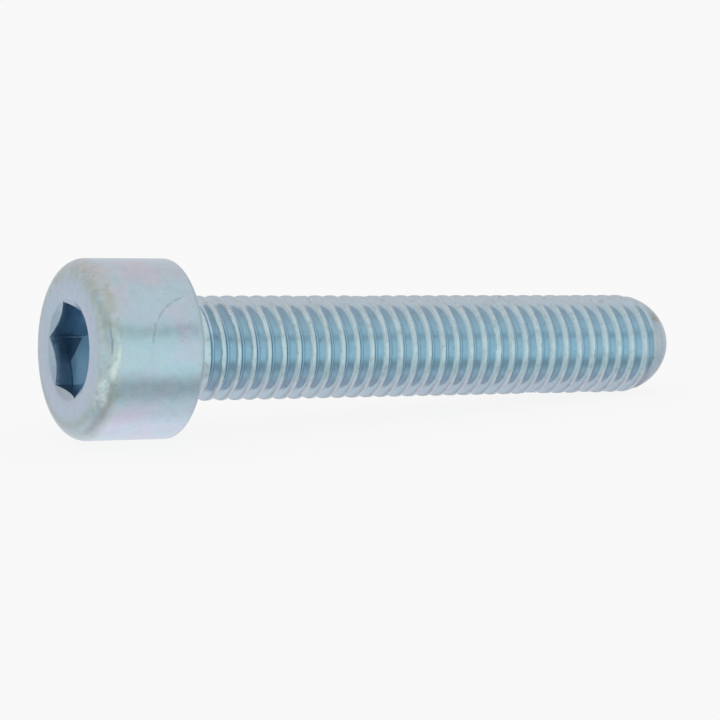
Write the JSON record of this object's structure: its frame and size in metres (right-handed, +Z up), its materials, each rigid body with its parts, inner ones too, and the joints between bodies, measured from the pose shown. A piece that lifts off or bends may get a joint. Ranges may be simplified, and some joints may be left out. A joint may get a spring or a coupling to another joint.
{
  "type": "hex socket cap screw",
  "caption": "Fully threaded cap screw with a cylindrical head and a hexagonal socket, zinc plated, lying on its side.",
  "frame": {"origin": "on the floor that the screw lies on, under the middle of its length", "axes": "+X runs from the head to the point, +Z up. The screw's own axis lies in the XZ plane and dips 3.87 degrees towards the point, because the head is thicker than the shank"},
  "size_m": [0.0332, 0.0084, 0.0087],
  "materials": {
    "zinc_plate": "zinc plated and blue passivated, satin"
  },
  "bodies": {
    "root": {"cap_screw": "zinc_plate"}
  },
  "joints": []
}
